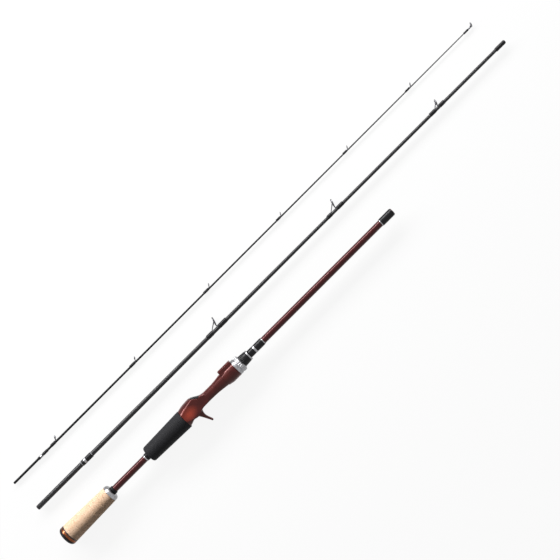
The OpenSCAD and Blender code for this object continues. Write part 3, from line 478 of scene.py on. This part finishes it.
def turn(name, section, profile, slot, nodes=(), ease_mm=0.12, steps=96, solid=False):
    """Spins (station, radius) points, in millimetres, round an axis; a solid's line ends on the axis."""
    axis = AXES[section]
    bm = bmesh.new()
    ring = [bm.verts.new((rear_x + s * MM, 0, r * MM)) for s, r in profile]
    edges = [bm.edges.new(pair) for pair in zip(ring, ring[1:])]
    if not solid:
        edges.append(bm.edges.new((ring[-1], ring[0])))
    bmesh.ops.spin(
        bm, geom=ring + edges, cent=(0, 0, 0), axis=(1, 0, 0), dvec=(0, 0, 0),
        angle=2 * math.pi, steps=steps, use_merge=True,
    )
    bmesh.ops.remove_doubles(bm, verts=bm.verts, dist=1e-7)
    bmesh.ops.recalc_face_normals(bm, faces=bm.faces)
    if ease_mm:
        corners = [e for e in bm.edges if len(e.link_faces) == 2 and e.calc_face_angle() > math.radians(40)]
        bmesh.ops.bevel(
            bm, geom=corners, offset=ease_mm * MM, offset_type="OFFSET", affect="EDGES",
            segments=2, profile=0.5, material=-1, clamp_overlap=True,
        )
    bmesh.ops.translate(bm, verts=bm.verts, vec=(0, axis.y, axis.z))
    return finish_piece(bm, name, BODY_OF[section], slot, nodes)


def tube_profile(start, end, outer, inner):
    return [(start, inner), (start, outer), (end, outer), (end, inner)]


# %% [markdown]
# ## The butt's rear end
# A domed rubber cap closes the butt, with a copper ring and a thin dark trim in front of it. The dome is a
# quarter circle of points, which is how a turner would grind a radius.

# %% Cap, copper ring and trim
BOND = 0.05
blank_r = 4.4
end_r = radius_of("end_ring")
cap_end = station("end_ring")
dome_steps = 10
dome = []
for i in range(dome_steps + 1):
    lift = math.radians(90 * i / dome_steps)
    dome.append((cap_end * (1 - math.sin(lift)), end_r - cap_end * (1 - math.cos(lift))))
cap_profile = [(0, 0)] + list(reversed(dome)) + [(cap_end, 0)]
turn("rubber_end_cap", "butt", cap_profile, "black_rubber", ["end_cap"], steps=128, solid=True)
turn(
    "copper_end_ring", "butt",
    tube_profile(cap_end, station("end_ring", 1), end_r, blank_r + BOND),
    "copper_ring", ["end_ring"], ease_mm=0.35, steps=128,
)
turn(
    "dark_end_trim", "butt",
    tube_profile(station("end_trim"), station("end_trim", 1), radius_of("end_trim"), blank_r + BOND),
    "dark_trim", ["end_trim"], steps=128,
)
print("cap ends at %.1f mm, radius %.1f mm" % (cap_end, end_r))

# %% [markdown]
# ## Cork grip
# The grip is five cork rings glued in a row and turned to a slight taper. The glue lines stay as fine
# grooves, so the profile dips a little at each joint.

# %% Cork rings with glue lines
cork_start = station("cork_rings")
cork_end = station("cork_rings", 1)
cork_rear_r = radius_of("cork_rings")
cork_front_r = radius_of("grip_cap")
ring_count = 5
groove_half = 0.18
groove_depth = 0.13


def cork_r(s):
    share = (s - cork_start) / (cork_end - cork_start)
    return cork_rear_r + (cork_front_r - cork_rear_r) * share


cork_profile = [(cork_start, blank_r + BOND)]
for i in range(ring_count):
    ring_start = cork_start + (cork_end - cork_start) * i / ring_count
    ring_end = cork_start + (cork_end - cork_start) * (i + 1) / ring_count
    if i:
        cork_profile.append((ring_start, cork_r(ring_start) - groove_depth))
    for share in (0.014, 0.25, 0.5, 0.75, 0.986):
        place = ring_start + (ring_end - ring_start) * share
        cork_profile.append((place, cork_r(place)))
cork_profile.append((cork_end, blank_r + BOND))
turn("cork_grip", "butt", cork_profile, "cork", ["cork_rings"], ease_mm=0, steps=128)
print("cork from %.1f to %.1f mm" % (cork_start, cork_end))

# %% [markdown]
# ## Silver cap, collar and the two checks
# A polished cap finishes the cork with a rounded shoulder, and a slim black collar grips the blank. The
# foam grip starts the same way, with a silver line and a black check.

# %% Cap, collar and checks
cap_start = station("grip_cap")
cap_front = station("grip_cap", 1)
collar_r = radius_of("grip_collar")
nose_r = 7.5
cap_length = cap_front - cap_start
shoulder = []
for i in range(9):
    angle = math.radians(90 * i / 8)
    shoulder.append(
        (cap_start + cap_length * (0.3 + 0.7 * math.sin(angle)), cork_front_r - (cork_front_r - nose_r) * (1 - math.cos(angle)))
    )
turn(
    "silver_grip_cap", "butt",
    [(cap_start, blank_r + BOND), (cap_start, cork_front_r)] + shoulder + [(cap_front, collar_r + BOND),
        (cap_front - 1, collar_r + BOND), (cap_front - 1, blank_r + BOND)],
    "polished_silver", ["grip_cap"], ease_mm=0.1, steps=128,
)
collar_start = station("grip_collar")
collar_end = station("grip_collar", 1)
turn(
    "black_collar", "butt",
    [(collar_start, blank_r + BOND), (collar_start, collar_r), (collar_end - 0.8, collar_r),
        (collar_end, collar_r - 0.6), (collar_end, blank_r + BOND)],
    "black_rubber", ["grip_collar"], ease_mm=0.2,
)
for node_name, slot in (("grip_trim", "polished_silver"), ("grip_check", "black_rubber")):
    turn(
        "turned_" + node_name, "butt",
        tube_profile(station(node_name), station(node_name, 1), radius_of(node_name), blank_r + BOND),
        slot, [node_name], ease_mm=0.25,
    )
print("collar ends at %.1f mm" % collar_end)

# %% [markdown]
# ## Foam grip
# The foam swells towards the reel seat and has a soft radius at its rear. The line of the swell is a gentle
# curve rather than a straight cone, so the profile takes a few points between its two ends.

# %% Foam grip
foam_start = station("foam_grip")
foam_end = station("foam_grip", 1)
foam_rear_r = 11.0
foam_front_r = radius_of("foam_grip")
foam_round = 3.0
foam_profile = [(foam_start, blank_r + BOND)]
for i in range(9):
    angle = math.radians(90 * i / 8)
    foam_profile.append((foam_start + foam_round * (1 - math.cos(angle)), foam_rear_r - foam_round * (1 - math.sin(angle))))
for i in range(1, 12):
    share = i / 12
    place = foam_start + foam_round + (foam_end - foam_start - foam_round) * share
    foam_profile.append((place, foam_rear_r + (foam_front_r - foam_rear_r) * share))
foam_profile += [(foam_end - 0.6, foam_front_r), (foam_end, foam_front_r - 0.3), (foam_end, blank_r + BOND)]
turn("foam_fore_grip", "butt", foam_profile, "foam", ["foam_grip"], ease_mm=0, steps=128)
print("foam from %.1f to %.1f mm" % (foam_start, foam_end))

# %% [markdown]
# ## The butt blank
# A straight carbon tube runs from the end cap through grip and seat to the front socket. Both its walls are
# drawn, because the socket is open when the rod is apart.

# %% Butt blank with its socket
socket_r = 3.18
socket_depth = 77
butt_end = station("butt_blank", 1)
turn(
    "butt_tube", "butt",
    [(cap_end + 0.05, 2.95), (cap_end + 0.05, blank_r), (butt_end, blank_r), (butt_end, socket_r),
        (butt_end - socket_depth, socket_r), (butt_end - socket_depth - 0.3, 2.95)],
    "red_blank", ["butt_blank"], ease_mm=0.15,
)
print("butt blank ends at %.1f mm" % butt_end)

# %% [markdown]
# ## Wraps and bands
# A thread wrap is a low barrel with rounded ends, where the varnish runs out onto the blank. One helper
# winds them all: it reads a node's box, and a node with two wraps is given its two ranges.

# %% The winding helper
def wound_profile(start, end, inner, outer, end_mm):
    rise = outer - inner
    profile = [(start, inner)]
    for i in range(1, 7):
        angle = math.radians(15 * i)
        profile.append((start + end_mm * (1 - math.cos(angle)), inner + rise * math.sin(angle)))
    for i in range(6, 0, -1):
        angle = math.radians(15 * i)
        profile.append((end - end_mm * (1 - math.cos(angle)), inner + rise * math.sin(angle)))
    profile.append((end, inner))
    return profile


def wind(name, section, start, end, inner, outer, nodes, end_mm=1.2, slot="thread_wrap"):
    return turn(name, section, wound_profile(start, end, inner, outer, end_mm), slot, nodes, ease_mm=0, steps=64)


wrap_r = radius_of("butt_wraps")
wind("butt_wrap_rear", "butt", station("butt_wraps"), station("butt_band"), blank_r + BOND, wrap_r, ["butt_wraps"])
wind("butt_wrap_front", "butt", station("butt_band", 1), station("butt_wraps", 1), blank_r + BOND, wrap_r, [])
wind(
    "butt_socket_wrap", "butt", station("butt_ferrule_wrap"), station("butt_ferrule_wrap", 1),
    blank_r + BOND, radius_of("butt_ferrule_wrap"), ["butt_ferrule_wrap"],
)
for node_name in ("butt_band", "butt_trim", "ferrule_trim"):
    turn(
        "turned_" + node_name, "butt",
        tube_profile(station(node_name), station(node_name, 1), radius_of(node_name), blank_r + BOND),
        "polished_silver", [node_name], ease_mm=0.15,
    )
print("butt wraps reach radius %.2f mm" % wrap_r)

# %% [markdown]
# ## Mid and tip blanks
# Both taper: the mid blank narrows over its rear half and then runs almost straight, and the tip blank
# tapers all the way. Their spigots are ground parallel, with a small lead at the end.

# %% Mid blank
mid_spigot_end = 75
mid_front_r = 2.1
mid_end = station("mid_blank", 1)
mid_taper_end = 484
turn(
    "mid_tube", "mid",
    [(0, 1.3), (0, 2.75), (0.6, 3.15), (mid_spigot_end, 3.15), (mid_taper_end, mid_front_r), (mid_end - 0.4, mid_front_r),
        (mid_end, mid_front_r - 0.2), (mid_end, 1.58), (mid_end - 44, 1.58), (mid_end - 45, 1.3)],
    "dark_blank", ["mid_blank"], ease_mm=0, steps=64,
)

# %% Tip blank
tip_end = station("tip_blank", 1)
turn(
    "tip_rod", "tip",
    [(322, 0), (320, 0.7), (0, 0.7), (0, 1.25), (0.5, 1.55), (42, 1.55), (42, 1.5), (tip_end, 0.6), (tip_end, 0)],
    "black_blank", ["tip_blank"], ease_mm=0, steps=48, solid=True,
)
print("mid blank %.0f mm, tip blank %.0f mm long" % (mid_end, tip_end))

# %% [markdown]
# ## Softened copies
# The reel seat, hood, nut and guides aren't round, and their real edges are soft from moulding, polishing
# or brazing. A copy of the model's solid is rebuilt as a fine even net of faces and then relaxed a little:
# the sharp creases of a drawn shape turn into the small radii of a made one, and sizes hardly change.

# %% The softening helper
def soften(node_names, name, body, slot, net_mm, rounds, hold=None, hold_rounds=2, shape=None):
    """Rebuilds the named solids as one fine net and relaxes it; hold(point) keeps detail there."""
    bm = bmesh.new()
    for node_name in node_names:
        bm.from_mesh(frame["nodes"][node_name].data)
    bmesh.ops.remove_doubles(bm, verts=bm.verts, dist=1e-6)
    mesh = bpy.data.meshes.new(name + "_net")
    bm.to_mesh(mesh)
    bm.free()
    carrier = bpy.data.objects.new(name + "_net", mesh)
    bpy.context.scene.collection.objects.link(carrier)
    net = carrier.modifiers.new("net", "REMESH")
    net.mode = "VOXEL"
    net.voxel_size = net_mm * MM
    carrier_view = carrier.evaluated_get(bpy.context.evaluated_depsgraph_get())
    bm = bmesh.new()
    bm.from_mesh(carrier_view.to_mesh())
    bpy.data.objects.remove(carrier)
    if shape is not None:
        for vert in bm.verts:
            vert.co = shape(vert.co)
    loose = [v for v in bm.verts if hold is None or not hold(v.co)]
    for step in range(rounds):
        moving = bm.verts if step < hold_rounds else loose
        bmesh.ops.smooth_vert(bm, verts=moving, factor=0.5, use_axis_x=True, use_axis_y=True, use_axis_z=True)
    faces = len(bm.faces)
    piece = finish_piece(bm, name, body, slot, node_names, sharp_deg=60)
    print("%s: %d faces" % (name, faces))
    return piece


# %% [markdown]
# ## Reel seat, hoods and nut
# The palm needs the most relaxing, because its skin flows from the foam into the saddle. The threaded
# barrel must keep its ridges, so it is held still after the first rounds.

# %% Seat, hood and nut
barrel_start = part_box("moving_hood")[0].x
hood_inner_r = 9.55
hood_outer_r = 10.9
hood_chamfer = 7.0


def chamfer_rear(point):
    """Slims the hood's round part towards its rear, so that its outline runs on from the saddle."""
    axis = AXES["butt"]
    across = Vector((0, point.y - axis.y, point.z - axis.z))
    share = min(1, (point.x - barrel_start) / (hood_chamfer * MM))
    most = (hood_inner_r + (hood_outer_r - hood_inner_r) * share) * MM
    if across.length > most and across.y < 6 * MM:
        across = across.normalized() * most
        return Vector((point.x, axis.y + across.y, axis.z + across.z))
    return point


soften(["seat_body"], "reel_seat", "butt_section", "red_seat", 0.42, 22, hold=lambda p: p.x > barrel_start + 1.5 * MM)
soften(["hood_bezel"], "mouth_bezel", "butt_section", "black_plastic", 0.3, 2)
soften(["moving_hood"], "sliding_hood", "moving_hood", "red_seat", 0.26, 6, shape=chamfer_rear)
soften(["nut_ring"], "nut_grip_ring", "lock_nut", "polished_silver", 0.16, 2)
soften(["lock_nut"], "ribbed_nut", "lock_nut", "black_plastic", 0.18, 2)
turn(
    "winding_check_ring", "butt",
    tube_profile(station("winding_check"), station("winding_check", 1), radius_of("winding_check"), blank_r + BOND),
    "polished_silver", ["winding_check"], ease_mm=0.4,
)

# %% [markdown]
# ## Guides
# Each guide is bent from steel and brazed to its loop, and a ring of dark ceramic is pressed in. The
# smaller the guide, the finer its net has to be, so the net follows the loop's width.

# %% Guide frames
for node_name, node in list(frame["nodes"].items()):
    if node_name.endswith("_frame"):
        low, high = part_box(node_name)
        loop_mm = (high.z - low.z) / MM
        body = "mid_section" if node_name.startswith("mid") else "tip_section"
        soften([node_name], "steel_" + node_name, body, "guide_steel", 0.035 + loop_mm * 0.009, 2)
        ring_name = node_name.replace("_frame", "_ring")
        soften([ring_name], "ceramic_" + ring_name, body, "line_ring_ceramic", 0.03 + loop_mm * 0.007, 3)

# %% [markdown]
# ## The model's own pieces that stay
# Wraps over guide feet, thin bands and the arbors inside the seat are already the right shape, so they
# only get their finish. Their mesh stays as it is.

# %% Finishes for what is kept
kept = 0
for node_name, node in frame["nodes"].items():
    slot = SLOT_OF[node_name]
    node.data.materials.clear() if not node.data.materials else None
    for material_slot in node.material_slots:
        material_slot.material = FINISH[slot]
    kept += not node.hide_render
print("model pieces that stay in sight:", kept)

# %% [markdown]
# ## Floor
# The floor is plain and white. What the camera, a reflection or a look through glass sees of it is its own
# white, and everything else, such as the object's shadow, comes from a small share of plain paint.

# %% White floor
def white_floor():
    bm = bmesh.new()
    bmesh.ops.create_grid(bm, x_segments=2, y_segments=2, size=6)
    mesh = bpy.data.meshes.new("floor")
    bm.to_mesh(mesh)
    bm.free()
    floor = bpy.data.objects.new("floor", mesh)
    bpy.context.scene.collection.objects.link(floor)
    material = bpy.data.materials.new("white_floor")
    material.use_nodes = True
    nodes = material.node_tree.nodes
    links = material.node_tree.links
    nodes.clear()
    out = nodes.new("ShaderNodeOutputMaterial")
    paint = nodes.new("ShaderNodeBsdfDiffuse")
    paint.inputs["Color"].default_value = (0.8, 0.8, 0.8, 1)
    glow = nodes.new("ShaderNodeEmission")
    glow.inputs["Strength"].default_value = 1
    path = nodes.new("ShaderNodeLightPath")
    seen = nodes.new("ShaderNodeMath")
    seen.operation = "ADD"
    seen_or_glass = nodes.new("ShaderNodeMath")
    seen_or_glass.operation = "ADD"
    share = nodes.new("ShaderNodeMath")
    share.operation = "MULTIPLY"
    share.use_clamp = True
    share.inputs[1].default_value = 0.9
    mix = nodes.new("ShaderNodeMixShader")
    links.new(path.outputs["Is Camera Ray"], seen.inputs[0])
    links.new(path.outputs["Is Glossy Ray"], seen.inputs[1])
    links.new(seen.outputs[0], seen_or_glass.inputs[0])
    links.new(path.outputs["Is Transmission Ray"], seen_or_glass.inputs[1])
    links.new(seen_or_glass.outputs[0], share.inputs[0])
    links.new(share.outputs[0], mix.inputs["Fac"])
    links.new(paint.outputs[0], mix.inputs[1])
    links.new(glow.outputs[0], mix.inputs[2])
    links.new(mix.outputs[0], out.inputs["Surface"])
    mesh.materials.append(material)
    return floor


white_floor()

# %% [markdown]
# ## World and lamps
# The light is a plain studio set: a soft sky of low strength, a long strip low on the guides' side, which
# draws the thin streak along every tube, and a broad soft lamp above it for the cork and the metal.

# %% World
def studio_world():
    world = bpy.data.worlds.new("studio")
    bpy.context.scene.world = world
    world.use_nodes = True
    nodes = world.node_tree.nodes
    links = world.node_tree.links
    background = nodes["Background"]
    path = nodes.new("ShaderNodeLightPath")
    seen = nodes.new("ShaderNodeMath")
    seen.operation = "ADD"
    seen_or_glass = nodes.new("ShaderNodeMath")
    seen_or_glass.operation = "ADD"
    strength = nodes.new("ShaderNodeMapRange")
    strength.inputs["To Min"].default_value = 0.14
    strength.inputs["To Max"].default_value = 1.0
    background.inputs["Color"].default_value = (1, 1, 1, 1)
    links.new(path.outputs["Is Camera Ray"], seen.inputs[0])
    links.new(path.outputs["Is Glossy Ray"], seen.inputs[1])
    links.new(seen.outputs[0], seen_or_glass.inputs[0])
    links.new(path.outputs["Is Transmission Ray"], seen_or_glass.inputs[1])
    links.new(seen_or_glass.outputs[0], strength.inputs["Value"])
    links.new(strength.outputs["Result"], background.inputs["Strength"])


studio_world()


# %% Lamps
def softbox(name, place, aim, width, height, power):
    lamp = bpy.data.lights.new(name, "AREA")
    lamp.shape = "RECTANGLE"
    lamp.size = width
    lamp.size_y = height
    lamp.energy = power
    holder = bpy.data.objects.new(name, lamp)
    bpy.context.scene.collection.objects.link(holder)
    forward = (Vector(aim) - Vector(place)).normalized()
    side = Vector((1, 0, 0))
    up = side.cross(forward).normalized()
    turn_matrix = Matrix((side, up, -forward)).transposed()
    holder.matrix_world = Matrix.Translation(place) @ turn_matrix.to_4x4()
    return holder


softbox("strip", (0, 1.05, 0.5), (0, 0, 0.01), 2.6, 0.30, 52)
softbox("key", (0, 1.1, 1.5), (0, 0, 0), 2.0, 0.7, 4)

# %% [markdown]
# ## Camera
# The camera looks straight down on the three sections, turned an eighth of a circle, so that they run from
# the lower left to the upper right of the frame.

# %% Camera
camera_data = bpy.data.cameras.new("camera")
camera_data.lens = 77
camera_data.sensor_width = 36
camera = bpy.data.objects.new("camera", camera_data)
camera.location = (0.0029, 0.0012, 1.49)
camera.rotation_euler = (0, 0, math.radians(-45))
bpy.context.scene.collection.objects.link(camera)
bpy.context.scene.camera = camera
bpy.context.scene.view_settings.view_transform = "Standard"
print("camera %.2f m above the floor" % camera.location.z)
